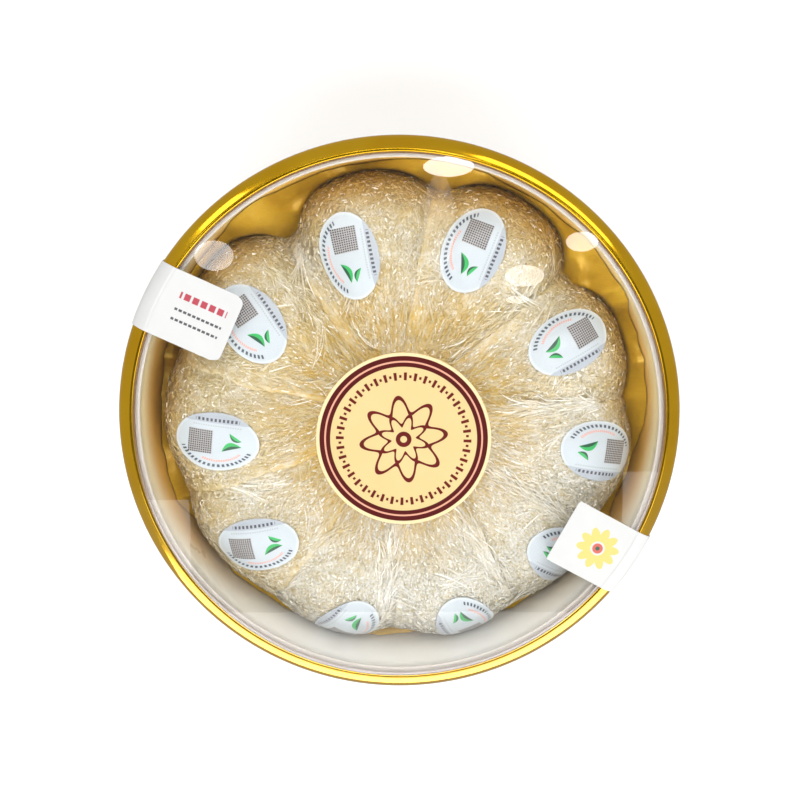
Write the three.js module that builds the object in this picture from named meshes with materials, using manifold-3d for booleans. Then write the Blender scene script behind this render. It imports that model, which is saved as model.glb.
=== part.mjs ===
// Edible bird's nests in a round gift box: ten half-cup nests laid as a rosette on a satin lining,
// in a tray inside a drum-shaped base, under a clear lid window held by a gold ring.
// Millimetres, +Z up. The origin is the middle of the flat underside.

import * as THREE from 'three';
import { mergeVertices } from 'three/addons/utils/BufferGeometryUtils.js';
import Module from 'manifold-3d';

const wasm = await Module();
wasm.setup();

// Box, from the outside in
const lidRadius = 100;
const boxHeight = 52;
const roundSteps = 48;      // flats round every turned piece
const fitGap = 0.3;         // air between pieces that touch

const ringRound = 5.7;      // quarter-round on the ring's outer top edge
const ringWall = 2;
const ringSlip = 0.4;       // air between the ring's skirt and the base's neck
const ringSkirt = 17.6;     // how far the lid comes down over the base
const ringLedge = 0.8;      // the window sits on this much of the ring
const ledgeThickness = 1;
const windowThickness = 1.8;

const baseRadius = 99.7;
const baseFootRadius = 98.4;
const baseCorner = 6;
const baseFloor = 2.2;
const baseWall = 2;

const trayWall = 1.3;
const trayLipRadius = 92.4;
const trayTopRadius = 93;
const trayFootRadius = 91.6;
const trayCorner = 5;
const trayFlange = 1.4;

// Satin lining on the tray's floor
const liningRadius = 90.2;
const liningFootRadius = 84.8; // its underside is narrower, clear of the tray's corner
const liningThickness = 4;
const liningPucker = 0.5;   // height of its gathers
const liningWaves = 1.4;    // gathers from its middle to its edge
const liningFolds = 11;     // gathers round it
const liningRise = 6;       // how far its edge stands up where the nests leave it room
const liningEdge = 0.92;    // share of its radius where the edge begins
const liningGaps = [
  { angle: 124, spread: 4.5, rise: 1 },
  { angle: 39.5, spread: 3, rise: 1 },
  { angle: -161, spread: 2.2, rise: 0.5 },
];

// Nests. Each is a half cup lying on its open side: angle is its direction from the middle of the
// box, in degrees, reach how far out it goes, width and height its size, and rank says which of two
// neighbours lies over the other.
const nests = [
  { angle: 98, reach: 88.8, width: 54, height: 35.5, rank: 6 },
  { angle: 59, reach: 90, width: 54, height: 36, rank: 7 },
  { angle: 17, reach: 87.4, width: 52, height: 35, rank: 8 },
  { angle: -14, reach: 88.8, width: 45, height: 36.5, rank: 9 },
  { angle: -45.5, reach: 90.6, width: 56, height: 34, rank: 2 },
  { angle: -76, reach: 90.8, width: 48, height: 35.5, rank: 3 },
  { angle: -110, reach: 90.8, width: 58, height: 34.5, rank: 1 },
  { angle: -144, reach: 89.8, width: 56, height: 35.5, rank: 3 },
  { angle: -178.5, reach: 88.6, width: 53, height: 36, rank: 4 },
  { angle: 145, reach: 89.2, width: 56, height: 35, rank: 5 },
];
const nestCrest = 60;       // distance out to the highest point
const nestTip = 12;         // distance out to the inner tip
const nestWidest = 80;      // distance out to the full width
const nestShell = 4.2;      // thickness of the matted strands
const nestInnerHeight = 0.62; // height at the tip, as a share of the full height
const nestSpare = 0.4;      // air between a nest and the one that lies over it
const nestLean = 0.08;      // sideways lean of the crest, for each unit of height
const nestLump = 0.7;       // height of the uneven lumps in the matting
const lumpLengths = [32, 27, 55, 38]; // the lumps' wave lengths, by turns outwards and sideways
const tipFall = 1.6;        // how the crest curves down towards the tip
const outerSquareness = 3.2;
const innerSquareness = 2.4;
const sideSquareness = 2.3;
const roofSquareness = 2.6;

// Oval paper labels on the nests: out is the distance from the middle of the box, side the
// shift to the nest's left, and turn the angle between the label's long axis and the nest's
const labelLength = 31;
const labelWidth = 21.5;
const paper = 0.25;         // thickness of every label and seal
const labelClear = 0.9;     // air between a label's flats and its nest
const labels = [
  { out: 60, side: 9.5, turn: 4 },
  { out: 65, side: 9, turn: 10 },
  { out: 66, side: 9, turn: 13 },
  { out: 73.5, side: 6, turn: 6 },
  { out: 80, side: 6, turn: 16 },
  { out: 83.5, side: 5, turn: 14 },
  { out: 83.5, side: 9, turn: -12 },
  { out: 70, side: 8, turn: -26 },
  { out: 66, side: 6.5, turn: -8 },
  { out: 62.5, side: 2, turn: -21 },
];

// Round label on the window, and two seals that hold the lid to the base
const roundLabelRadius = 31;
const roundLabelPlace = [1.5, -5.8];
const seals = [
  { name: 'seal_left', angle: 155.7, inner: 66.8, from: -18.1, to: 6.7, corner: 3 },
  { name: 'seal_right', angle: -28.6, inner: 70.2, from: -18.4, to: 6.1, corner: 0 },
];
const sealReachDown = 24;   // height of the seals' lower ends above the table

// Heights that follow from the sizes above
const windowBottom = boxHeight - windowThickness;
const ringInner = lidRadius - ringRound;
const ledgeTop = windowBottom - fitGap;
const ledgeBottom = ledgeTop - ledgeThickness;
const skirtBottom = boxHeight - ringSkirt;
const flangeTop = ledgeBottom - fitGap;
const flangeBottom = flangeTop - trayFlange;
const baseTop = flangeBottom - fitGap;
const shoulder = skirtBottom - fitGap;
const neckRadius = lidRadius - ringWall - ringSlip;
const trayBottom = baseFloor + fitGap;
const trayFloor = trayBottom + trayWall;
const liningBottom = trayFloor + fitGap;
const nestFloor = liningBottom + liningThickness + liningPucker + fitGap;

const materials = {
  ivory: { color: 0xe9e1d6, roughness: 0.45, metalness: 0 },
  tray: { color: 0xefe8dc, roughness: 0.4, metalness: 0 },
  gold: { color: 0xd9a514, roughness: 0.15, metalness: 1 },
  clear: { color: 0xf4f8f8, roughness: 0.03, metalness: 0, transparent: true, opacity: 0.2 },
  satin: { color: 0xd7a02c, roughness: 0.35, metalness: 0 },
  nest: { color: 0xe6dabb, roughness: 0.6, metalness: 0 },
  paper: { color: 0xf6f7f5, roughness: 0.5, metalness: 0 },
  roundLabel: { color: 0xead39a, roughness: 0.45, metalness: 0 },
};

function namedMesh(name, geometry, material) {
  const mesh = new THREE.Mesh(geometry, new THREE.MeshStandardMaterial(materials[material]));
  mesh.name = name;
  return mesh;
}

// Points of an arc in the section plane, where x is the distance from the axis and y the height
function arc(x, y, radius, fromDegrees, toDegrees, steps) {
  const points = [];
  for (let i = 0; i <= steps; i++) {
    const a = THREE.MathUtils.degToRad(fromDegrees + ((toDegrees - fromDegrees) * i) / steps);
    points.push(new THREE.Vector2(x + radius * Math.cos(a), y + radius * Math.sin(a)));
  }
  return points;
}

function at(x, y) {
  return new THREE.Vector2(x, y);
}

function turned(profile) {
  return new THREE.LatheGeometry(profile, roundSteps).rotateX(Math.PI / 2);
}

// The drum-shaped base: a flat floor, a wall that widens up to the lid, and a neck inside the lid
function makeBase() {
  const inside = neckRadius - baseWall;
  const outerCorner = arc(baseFootRadius - baseCorner, baseCorner, baseCorner, -90, 0, 3);
  const innerCorner = arc(inside - baseCorner, baseFloor + baseCorner, baseCorner, 0, -90, 3);
  return turned([
    at(0, 0),
    ...outerCorner,
    at(baseRadius, shoulder),
    at(neckRadius, shoulder),
    at(neckRadius, baseTop),
    at(inside, baseTop),
    ...innerCorner,
    at(0, baseFloor),
  ]);
}

// The thin tray that hangs from the base's neck by its flange
function makeTray() {
  const footOutside = trayFootRadius + trayWall;
  const outerCorner = arc(footOutside - trayCorner, trayBottom + trayCorner, trayCorner, -90, 0, 2);
  const innerCorner = arc(trayFootRadius - trayCorner, trayFloor + trayCorner, trayCorner, 0, -90, 2);
  return turned([
    at(0, trayBottom),
    ...outerCorner,
    at(trayTopRadius + trayWall, flangeBottom),
    at(neckRadius, flangeBottom),
    at(neckRadius, flangeTop),
    at(trayLipRadius, flangeTop),
    at(trayLipRadius, flangeBottom),
    at(trayTopRadius, flangeBottom - trayFlange / 2),
    ...innerCorner,
    at(0, trayFloor),
  ]);
}

// The gold ring: a skirt, a quarter-round shoulder and the ledge that the window sits on
function makeRing() {
  const skirtInside = lidRadius - ringWall;
  const round = arc(ringInner, boxHeight - ringRound, ringRound, 0, 90, 4);
  return turned([
    at(lidRadius, skirtBottom),
    ...round,
    at(ringInner, ledgeTop),
    at(ringInner - ringLedge, ledgeTop),
    at(ringInner - ringLedge, ledgeBottom),
    at(skirtInside, ledgeBottom),
    at(skirtInside, skirtBottom),
    at(lidRadius, skirtBottom),
  ]);
}

function makeDisc(radius, bottom, thickness, steps) {
  const disc = new THREE.CylinderGeometry(radius, radius, thickness, steps);
  return disc.rotateX(Math.PI / 2).translate(0, 0, bottom + thickness / 2);
}

// A closed mesh from rows of points that run round it: the first and last rows are each closed
// with a fan to their own middle
function closedFromRows(rows) {
  const count = rows[0].length;
  const middle = (row) => row.reduce((sum, p) => sum.add(p), new THREE.Vector3()).divideScalar(count);
  const positions = [];
  const triangle = (a, b, c) => positions.push(...a, ...b, ...c);
  const first = rows[0];
  const last = rows[rows.length - 1];
  const firstMiddle = middle(first);
  const lastMiddle = middle(last);
  for (let i = 0; i < count; i++) {
    const j = (i + 1) % count;
    triangle(firstMiddle, first[i], first[j]);
    for (let k = 0; k + 1 < rows.length; k++) {
      const [upper, lower] = [rows[k], rows[k + 1]];
      triangle(upper[i], lower[i], lower[j]);
      triangle(upper[i], lower[j], upper[j]);
    }
    triangle(lastMiddle, last[j], last[i]);
  }
  const geometry = new THREE.BufferGeometry();
  geometry.setAttribute('position', new THREE.Float32BufferAttribute(positions, 3));
  geometry.computeVertexNormals();
  return geometry;
}

// Half the width of a nest at a distance out from the middle of the box
function halfWidth(nest, out) {
  return (nest.width / 2) * Math.sin((Math.PI / 2) * Math.min(1, out / nestWidest));
}

// 0 at a nest's crest and 1 on its outline, in the nest's own frame, with its sides moved in by inset
function outlineShare(nest, out, side, inset) {
  const beyond = out > nestCrest;
  const length = (beyond ? nest.reach - nestCrest : nestCrest - nestTip) - inset;
  const along = Math.abs(out - nestCrest) / length;
  const across = Math.abs(side) / Math.max(0.2, halfWidth(nest, out) - inset);
  return along ** (beyond ? outerSquareness : innerSquareness) + across ** sideSquareness;
}

// Low lumps in the matting, different on each nest
function lump(nest, out, side) {
  const phase = nest.angle;
  const [outShort, sideShort, outLong, sideLong] = lumpLengths.map((length) => (2 * Math.PI) / length);
  const short = Math.sin(out * outShort + phase) * Math.sin(side * sideShort + 2 * phase);
  const long = Math.sin(out * outLong + side * sideLong - phase);
  return nestLump * (short + 0.6 * long);
}

// A point on a nest's surface, above or below by inset, in the nest's own frame
function onNest(nest, out, side, inset = 0) {
  const inwards = Math.max(0, (nestCrest - out) / (nestCrest - nestTip));
  const crest = nest.height * (1 - (1 - nestInnerHeight) * inwards ** tipFall) - inset;
  const share = Math.min(1, outlineShare(nest, out, side, inset));
  const roof = (1 - share) ** (1 / roofSquareness);
  const height = roof * (crest + lump(nest, out, side));
  return new THREE.Vector3(out, side + nestLean * height, height);
}

// Where a ray from the crest, in a direction given in radians, meets the outline
function outlineDistance(nest, direction, inset) {
  const halvings = 30;
  let [near, far] = [0, nestCrest];
  for (let i = 0; i < halvings; i++) {
    const tried = (near + far) / 2;
    const out = nestCrest + tried * Math.cos(direction);
    const share = outlineShare(nest, out, tried * Math.sin(direction), inset);
    if (share < 1) near = tried;
    else far = tried;
  }
  return near;
}

const nestRounds = 20;      // points round a nest
const roofRows = [0.3, 0.58, 0.81, 0.94, 1];
const hollowRows = [1, 0.85, 0.45];

// Rows of points over a nest's surface, at shares of the way from its crest to its outline
function nestRows(nest, shares, inset) {
  return shares.map((share) => {
    const row = [];
    for (let i = 0; i < nestRounds; i++) {
      const direction = (2 * Math.PI * i) / nestRounds;
      const distance = share * outlineDistance(nest, direction, inset);
      const out = nestCrest + distance * Math.cos(direction);
      row.push(onNest(nest, out, distance * Math.sin(direction), inset));
    }
    return row;
  });
}

// A nest as a shell that is open underneath
function nestShellGeometry(nest) {
  return closedFromRows([...nestRows(nest, roofRows, 0), ...nestRows(nest, hollowRows, nestShell)]);
}

// The room that a nest takes up, which a neighbour that lies under it leaves free
function nestRoomGeometry(nest) {
  const rows = nestRows(nest, roofRows, -nestSpare);
  const below = rows[rows.length - 1].map((p) => new THREE.Vector3(p.x, p.y, -2 * fitGap));
  return closedFromRows([...rows, below]);
}

function toManifold(geometry) {
  geometry.deleteAttribute('normal');
  const merged = mergeVertices(geometry, 1e-4);
  return new wasm.Manifold(
    new wasm.Mesh({
      numProp: 3,
      vertProperties: merged.attributes.position.array,
      triVerts: new Uint32Array(merged.index.array),
    }),
  );
}

function fromManifold(manifold) {
  const mesh = manifold.getMesh();
  const geometry = new THREE.BufferGeometry();
  geometry.setAttribute('position', new THREE.BufferAttribute(mesh.vertProperties, 3));
  geometry.setIndex(new THREE.BufferAttribute(mesh.triVerts, 1));
  geometry.computeVertexNormals();
  return geometry;
}

// A nest less the room of the neighbours that lie over it
function makeNest(index) {
  const nest = nests[index];
  let solid = toManifold(nestShellGeometry(nest));
  for (const step of [-1, 1]) {
    const other = nests[(index + step + nests.length) % nests.length];
    if (other.rank > nest.rank) {
      const turn = THREE.MathUtils.degToRad(other.angle - nest.angle);
      solid = solid.subtract(toManifold(nestRoomGeometry(other).rotateZ(turn)));
    }
  }
  return fromManifold(solid);
}

// Unit vectors along and across a nest's surface, and out of it
function surfaceFrame(nest, out, side) {
  const small = 0.02;
  const here = onNest(nest, out, side);
  const along = onNest(nest, out + small, side).sub(here).divideScalar(small);
  const across = onNest(nest, out, side + small).sub(here).divideScalar(small);
  return { here, along, across, up: along.clone().cross(across).normalize() };
}

// The place reached by walking over a nest's surface from a start, in a direction, for a distance
function walkOver(nest, start, direction, distance) {
  const steps = 12;
  let [out, side] = [start.out, start.side];
  let heading = direction.clone();
  for (let i = 0; i < steps; i++) {
    const { along, across, up } = surfaceFrame(nest, out, side);
    heading.addScaledVector(up, -heading.dot(up)).normalize();
    const [aa, ab, bb] = [along.dot(along), along.dot(across), across.dot(across)];
    const [ha, hb] = [heading.dot(along), heading.dot(across)];
    const scale = distance / steps / (aa * bb - ab * ab);
    out += scale * (ha * bb - hb * ab);
    side += scale * (hb * aa - ha * ab);
  }
  return surfaceFrame(nest, out, side);
}

// An oval label that follows its nest's surface
function makeLabel(nest, label) {
  const rounds = 12;
  const labelMiddle = 0.4; // share of the way to its edge where a label's middle facets end
  const start = surfaceFrame(nest, label.out, label.side);
  const turn = THREE.MathUtils.degToRad(label.turn);
  const first = start.along.clone().normalize().applyAxisAngle(start.up, turn);
  const second = start.up.clone().cross(first);
  const sheet = (share, lift) => {
    const row = [];
    for (let i = 0; i < rounds; i++) {
      const a = (2 * Math.PI * i) / rounds;
      const x = (share * labelLength * Math.cos(a)) / 2;
      const y = (share * labelWidth * Math.sin(a)) / 2;
      const direction = first.clone().multiplyScalar(x).addScaledVector(second, y);
      const spot = walkOver(nest, label, direction.normalize(), Math.hypot(x, y));
      row.push(spot.here.addScaledVector(spot.up, lift));
    }
    return row;
  };
  return closedFromRows([
    sheet(labelMiddle, labelClear + paper),
    sheet(1, labelClear + paper),
    sheet(1, labelClear),
    sheet(labelMiddle, labelClear),
  ]);
}

// The lining: a thin cloth with gathers, which stands up against the wall between the nests' ends
function makeLining() {
  const rounds = 40;
  const radii = [27, 54, 76, 84.5, liningRadius];
  const height = (radius, degrees) => {
    const outwards = Math.sin(2 * Math.PI * liningWaves * (radius / liningRadius));
    const gather = outwards * Math.sin(THREE.MathUtils.degToRad(liningFolds * degrees));
    let rise = 0;
    for (const gap of liningGaps) {
      const off = THREE.MathUtils.euclideanModulo(degrees - gap.angle + 180, 360) - 180;
      rise += gap.rise * Math.exp(-((off / gap.spread) ** 2));
    }
    const near = THREE.MathUtils.smoothstep(radius, liningEdge * liningRadius, liningRadius);
    return liningThickness + liningPucker * gather + liningRise * rise * near;
  };
  const row = (radius, tall) => {
    const points = [];
    for (let i = 0; i < rounds; i++) {
      const degrees = (360 * i) / rounds;
      const a = THREE.MathUtils.degToRad(degrees);
      const z = liningBottom + (tall ? height(radius, degrees) : 0);
      points.push(new THREE.Vector3(radius * Math.cos(a), radius * Math.sin(a), z));
    }
    return points;
  };
  return closedFromRows([...radii.map((radius) => row(radius, true)), row(liningFootRadius, false)]);
}

// A paper seal: flat on the window, over the ring's round edge and down the side of lid and base.
// Its rows are lines along the seal, each at its own distance beside the seal's middle.
function makeSeal(seal) {
  const lines = 6;
  const bends = [0, 30, 60, 90];
  const path = (lift) => [
    ...bends.map((bend) => {
      const a = THREE.MathUtils.degToRad(90 - bend);
      const radius = ringRound + lift;
      return [ringInner + radius * Math.cos(a), boxHeight - ringRound + radius * Math.sin(a)];
    }),
    [lidRadius + lift, skirtBottom],
    [baseRadius + lift, sealReachDown],
  ];
  const line = (beside, lift) => {
    const edge = Math.min(beside - seal.from, seal.to - beside);
    const cut = Math.max(0, seal.corner - edge);
    const start = seal.inner + seal.corner - Math.sqrt(Math.max(0, seal.corner ** 2 - cut ** 2));
    const points = [new THREE.Vector3(start, beside, boxHeight + lift)];
    for (const [radius, z] of path(lift)) {
      points.push(new THREE.Vector3(Math.sqrt(radius ** 2 - beside ** 2), beside, z));
    }
    return points;
  };
  const outer = [];
  const inner = [];
  for (let i = 0; i < lines; i++) {
    const beside = THREE.MathUtils.lerp(seal.from, seal.to, i / (lines - 1));
    outer.push(line(beside, fitGap + paper));
    inner.push(line(beside, fitGap));
  }
  const rim = (sheet) => [
    ...sheet[0],
    ...sheet.slice(1, -1).map((l) => l[l.length - 1]),
    ...sheet[lines - 1].toReversed(),
    ...sheet.slice(1, -1).map((l) => l[0]).toReversed(),
  ];
  const positions = [];
  const quad = (a, b, c, d) => positions.push(...a, ...b, ...c, ...a, ...c, ...d);
  for (let i = 0; i + 1 < lines; i++) {
    for (let k = 0; k + 1 < outer[0].length; k++) {
      quad(outer[i][k], outer[i][k + 1], outer[i + 1][k + 1], outer[i + 1][k]);
      quad(inner[i][k], inner[i + 1][k], inner[i + 1][k + 1], inner[i][k + 1]);
    }
  }
  const [top, bottom] = [rim(outer), rim(inner)];
  for (let i = 0; i < top.length; i++) {
    const j = (i + 1) % top.length;
    quad(top[i], bottom[i], bottom[j], top[j]);
  }
  const geometry = new THREE.BufferGeometry();
  geometry.setAttribute('position', new THREE.Float32BufferAttribute(positions, 3));
  geometry.computeVertexNormals();
  return geometry;
}

const box = new THREE.Group();
box.add(namedMesh('base', makeBase(), 'ivory'));
box.add(namedMesh('tray', makeTray(), 'tray'));
box.add(namedMesh('satin_lining', makeLining(), 'satin'));
box.add(namedMesh('lid_ring', makeRing(), 'gold'));

const pane = makeDisc(ringInner - fitGap, windowBottom, windowThickness, roundSteps);
box.add(namedMesh('lid_window', pane, 'clear'));

const roundLabelSteps = 40;
const roundLabelDisc = makeDisc(roundLabelRadius, boxHeight + fitGap, paper, roundLabelSteps);
const roundLabel = namedMesh('round_label', roundLabelDisc, 'roundLabel');
roundLabel.position.set(...roundLabelPlace, 0);
box.add(roundLabel);

for (const seal of seals) {
  const strip = namedMesh(seal.name, makeSeal(seal), 'paper');
  strip.rotation.z = THREE.MathUtils.degToRad(seal.angle);
  box.add(strip);
}

// The nests, each with its label, in a group that is turned to the nest's place
nests.forEach((nest, index) => {
  const number = String(index + 1).padStart(2, '0');
  const place = new THREE.Group();
  place.rotation.z = THREE.MathUtils.degToRad(nest.angle);
  place.position.z = nestFloor;
  place.add(namedMesh(`nest_${number}`, makeNest(index), 'nest'));
  place.add(namedMesh(`nest_label_${number}`, makeLabel(nest, labels[index]), 'paper'));
  box.add(place);
});

export default box;
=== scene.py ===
import math
from functools import partialmethod

import bmesh
import bpy
import numpy as np
from mathutils import Matrix, Vector


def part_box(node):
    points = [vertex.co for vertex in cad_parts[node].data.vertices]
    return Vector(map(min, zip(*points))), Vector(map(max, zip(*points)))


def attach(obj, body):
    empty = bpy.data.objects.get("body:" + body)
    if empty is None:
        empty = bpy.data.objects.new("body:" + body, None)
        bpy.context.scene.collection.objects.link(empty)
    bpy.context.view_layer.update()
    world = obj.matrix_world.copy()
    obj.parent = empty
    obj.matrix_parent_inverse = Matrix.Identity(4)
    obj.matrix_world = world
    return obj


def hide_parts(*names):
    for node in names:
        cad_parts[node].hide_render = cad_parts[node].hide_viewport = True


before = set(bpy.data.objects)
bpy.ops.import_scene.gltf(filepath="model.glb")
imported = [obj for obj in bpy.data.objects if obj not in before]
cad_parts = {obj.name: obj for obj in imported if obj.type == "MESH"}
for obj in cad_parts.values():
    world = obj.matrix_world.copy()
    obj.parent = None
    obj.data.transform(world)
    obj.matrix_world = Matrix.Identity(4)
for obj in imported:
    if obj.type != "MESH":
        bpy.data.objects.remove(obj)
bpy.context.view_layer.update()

# Edible bird's nests in a round gift box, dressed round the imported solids.
# Lengths in the tables and formulas below are millimetres; meshes are metres.

MM = 0.001
random = np.random.default_rng(11)


def corner(node, end):
    """The lowest (0) or highest (1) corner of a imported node, in millimetres."""
    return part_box(node)[end] / MM


# Sizes taken from the frame
LID_RADIUS = corner("lid_ring", 1).x
LID_TOP = corner("lid_ring", 1).z
SKIRT_BOTTOM = corner("lid_ring", 0).z
BASE_RADIUS = corner("base", 1).x
BASE_TOP = corner("base", 1).z
TRAY_BOTTOM = corner("tray", 0).z
TRAY_TOP = corner("tray", 1).z
NECK_RADIUS = corner("tray", 1).x
LINING_BOTTOM = corner("satin_lining", 0).z
NEST_FLOOR = corner("nest_03", 0).z

RING_WIDTH = 5.7            # width of the ring's band, seen from above
RING_INNER = LID_RADIUS - RING_WIDTH
RING_WALL = 2
PANE_THICKNESS = 0.8
LEDGE = 0.6                 # how far the window's ledge stands in from the ring
BASE_FOOT_RADIUS = 98.4
BASE_CORNER = 6
BASE_WALL = 2
BASE_FLOOR = 2.2
TRAY_WALL = 1.3
TRAY_FOOT_RADIUS = 91.5
WALL_BEND = 24              # the height from which the tray's wall leans out more
TRAY_TOP_RADIUS = 93
TRAY_LIP_RADIUS = 92.4
TRAY_CORNER = 5
TRAY_FLANGE = 1.4

# The nests: angle is a nest's direction from the box's middle, in degrees; reach, width and height
# its size; rank says which of two neighbours lies over the other; warm how tan its strands are
NESTS = [
    dict(angle=98, reach=88.8, width=54, height=35.5, rank=6, warm=0.55),
    dict(angle=59, reach=90, width=54, height=36, rank=7, warm=0.7),
    dict(angle=17, reach=87.4, width=52, height=35, rank=8, warm=0.5),
    dict(angle=-14, reach=88.8, width=45, height=36.5, rank=9, warm=0.3),
    dict(angle=-45.5, reach=90.6, width=56, height=34, rank=2, warm=0.2),
    dict(angle=-76, reach=90.8, width=48, height=35.5, rank=3, warm=0.15),
    dict(angle=-110, reach=90.8, width=58, height=34.5, rank=1, warm=0.3),
    dict(angle=-144, reach=89.8, width=56, height=35.5, rank=3, warm=0.6),
    dict(angle=-178.5, reach=88.6, width=53, height=36, rank=4, warm=0.75),
    dict(angle=145, reach=89.2, width=56, height=35, rank=5, warm=0.75),
]
NEST_CREST = 60             # distance out to the highest point
NEST_TIP = 12               # distance out to the inner tip
NEST_WIDEST = 80            # distance out to the full width
NEST_SHELL = 4.2
NEST_INNER_HEIGHT = 0.75    # height at the tip, as a share of the full height
NEST_LEAN = 0.08            # how far it leans to its left, as a share of its height
NEST_LUMP = 0.7
LUMP_LENGTHS = [32, 27, 55, 38]
TIP_FALL = 1.6              # above 1, the roof falls off late on its way to the tip
OUTER_SQUARENESS = 3.2
INNER_SQUARENESS = 2.4
SIDE_SQUARENESS = 2.3
ROOF_SQUARENESS = 2.6
NEST_GIRTH = 24             # turns the nests' own measure of distance into about millimetres
SOFTNESS = 0.3              # how sharply one nest parts from the next, per millimetre
SOFT_REACH = (28, 62)       # the distances out between which this grows from half to the whole
OVERLAP = 2.4               # how far a nest reaches over its lower neighbour
EDGE_RISE = 0.6             # the raised edge of a nest that lies over its neighbour
EDGE_SPREAD = 5
UNDER_CREST = np.array([NEST_CREST, 0.0, 0.0])

# Oval labels on the nests: out and side are a label's place in its nest's own frame, and turn the
# angle between its long axis and the nest's
LABEL_LENGTH = 31
LABEL_WIDTH = 21.5
LABEL_LIFT = 0.75           # how far a label stands off its nest, on the strands' tops
PAPER = 0.16
LABELS = [
    dict(out=60, side=9.5, turn=4),
    dict(out=65, side=9, turn=10),
    dict(out=66, side=9, turn=13),
    dict(out=73.5, side=6, turn=6),
    dict(out=80, side=6, turn=16),
    dict(out=83.5, side=5, turn=14),
    dict(out=83.5, side=9, turn=-12),
    dict(out=70, side=8, turn=-26),
    dict(out=66, side=6.5, turn=-8),
    dict(out=62.5, side=2, turn=-21),
]

ROUND_LABEL_RADIUS = 31
ROUND_LABEL_PLACE = (1.5, -5.8)
ROUND_LABEL_TURN = 15
ROUND_LABEL_THICKNESS = 0.17

# Paper seals: angle is a seal's direction from the box's middle, in degrees; inner its end on the
# window; low and high its long edges; corner the radius of its two inner corners
SEALS = [
    dict(name="seal_left", angle=155.7, inner=66.8, low=-18.1, high=6.7, corner=3),
    dict(name="seal_right", angle=-28.6, inner=70.2, low=-18.4, high=6.1, corner=0.3),
]
SEAL_REACH_DOWN = 24
SEAL_LIFT = 0.32            # how far a seal's underside stands off what it sticks to


# Objects and the camera

def add(name, data):
    """A new object in the scene."""
    made = bpy.data.objects.new(name, data)
    bpy.context.scene.collection.objects.link(made)
    return made


def standing(place, side, up, back):
    """The matrix of an object at a place, with its own axes along three directions."""
    return Matrix.Translation(place) @ Matrix((side, up, back)).transposed().to_4x4()


CAMERA_PLACE = (0.21, 88.55, 494.78)
CAMERA_TILT = 10.276        # degrees off the vertical
CAMERA_LENS = 57.474
CAMERA_SENSOR = 36


def make_camera():
    """Looks down on the lid, with +Y up in the picture."""
    tilt = math.radians(CAMERA_TILT)
    back = Vector((0, math.sin(tilt), math.cos(tilt)))
    up = Vector((0, math.cos(tilt), -math.sin(tilt)))
    data = bpy.data.cameras.new("camera")
    data.sensor_width = CAMERA_SENSOR
    data.lens = CAMERA_LENS
    data.clip_start = 0.01
    camera = add("camera", data)
    camera.matrix_world = standing(Vector(CAMERA_PLACE) * MM, up.cross(back), up, back)
    bpy.context.scene.camera = camera


# Shader graphs, written as formulas. Their lengths are metres, but millimetres on a sheet

class Field:
    """A value that varies over a surface, worked out by shader nodes."""

    def __init__(self, graph, socket):
        self.graph = graph
        self.socket = socket

    def math(self, operation, *others):
        node = self.graph.nodes.new("ShaderNodeMath")
        node.operation = operation
        for slot, value in zip(node.inputs, (self, *others)):
            self.graph.put(slot, value)
        return Field(self.graph, node.outputs[0])

    __add__ = partialmethod(math, "ADD")
    __sub__ = partialmethod(math, "SUBTRACT")
    __mul__ = partialmethod(math, "MULTIPLY")
    __truediv__ = partialmethod(math, "DIVIDE")
    __pow__ = partialmethod(math, "POWER")
    __abs__ = partialmethod(math, "ABSOLUTE")

    def __rsub__(self, other):
        return (self * -1) + other

    def over(self, edge, soft):
        """0 below the edge and 1 above it, with a soft step between."""
        node = self.graph.nodes.new("ShaderNodeMapRange")
        node.interpolation_type = "SMOOTHSTEP"
        self.graph.put(node.inputs["Value"], self)
        node.inputs["From Min"].default_value = edge - soft / 2
        node.inputs["From Max"].default_value = edge + soft / 2
        return Field(self.graph, node.outputs["Result"])

    def under(self, edge, soft):
        return 1 - self.over(edge, soft)

    def band(self, middle, width, soft):
        """1 within half the width of the middle, and 0 outside."""
        return abs(self - middle).under(width / 2, soft)

    def dashes(self, share, soft):
        """1 over the middle share of each whole step, and 0 between."""
        return self.math("FRACT").band(0.5, share, soft)


NOISE_ROUGHNESS = 0.55


def from_middle(x, y):
    return (x * x + y * y) ** 0.5


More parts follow.
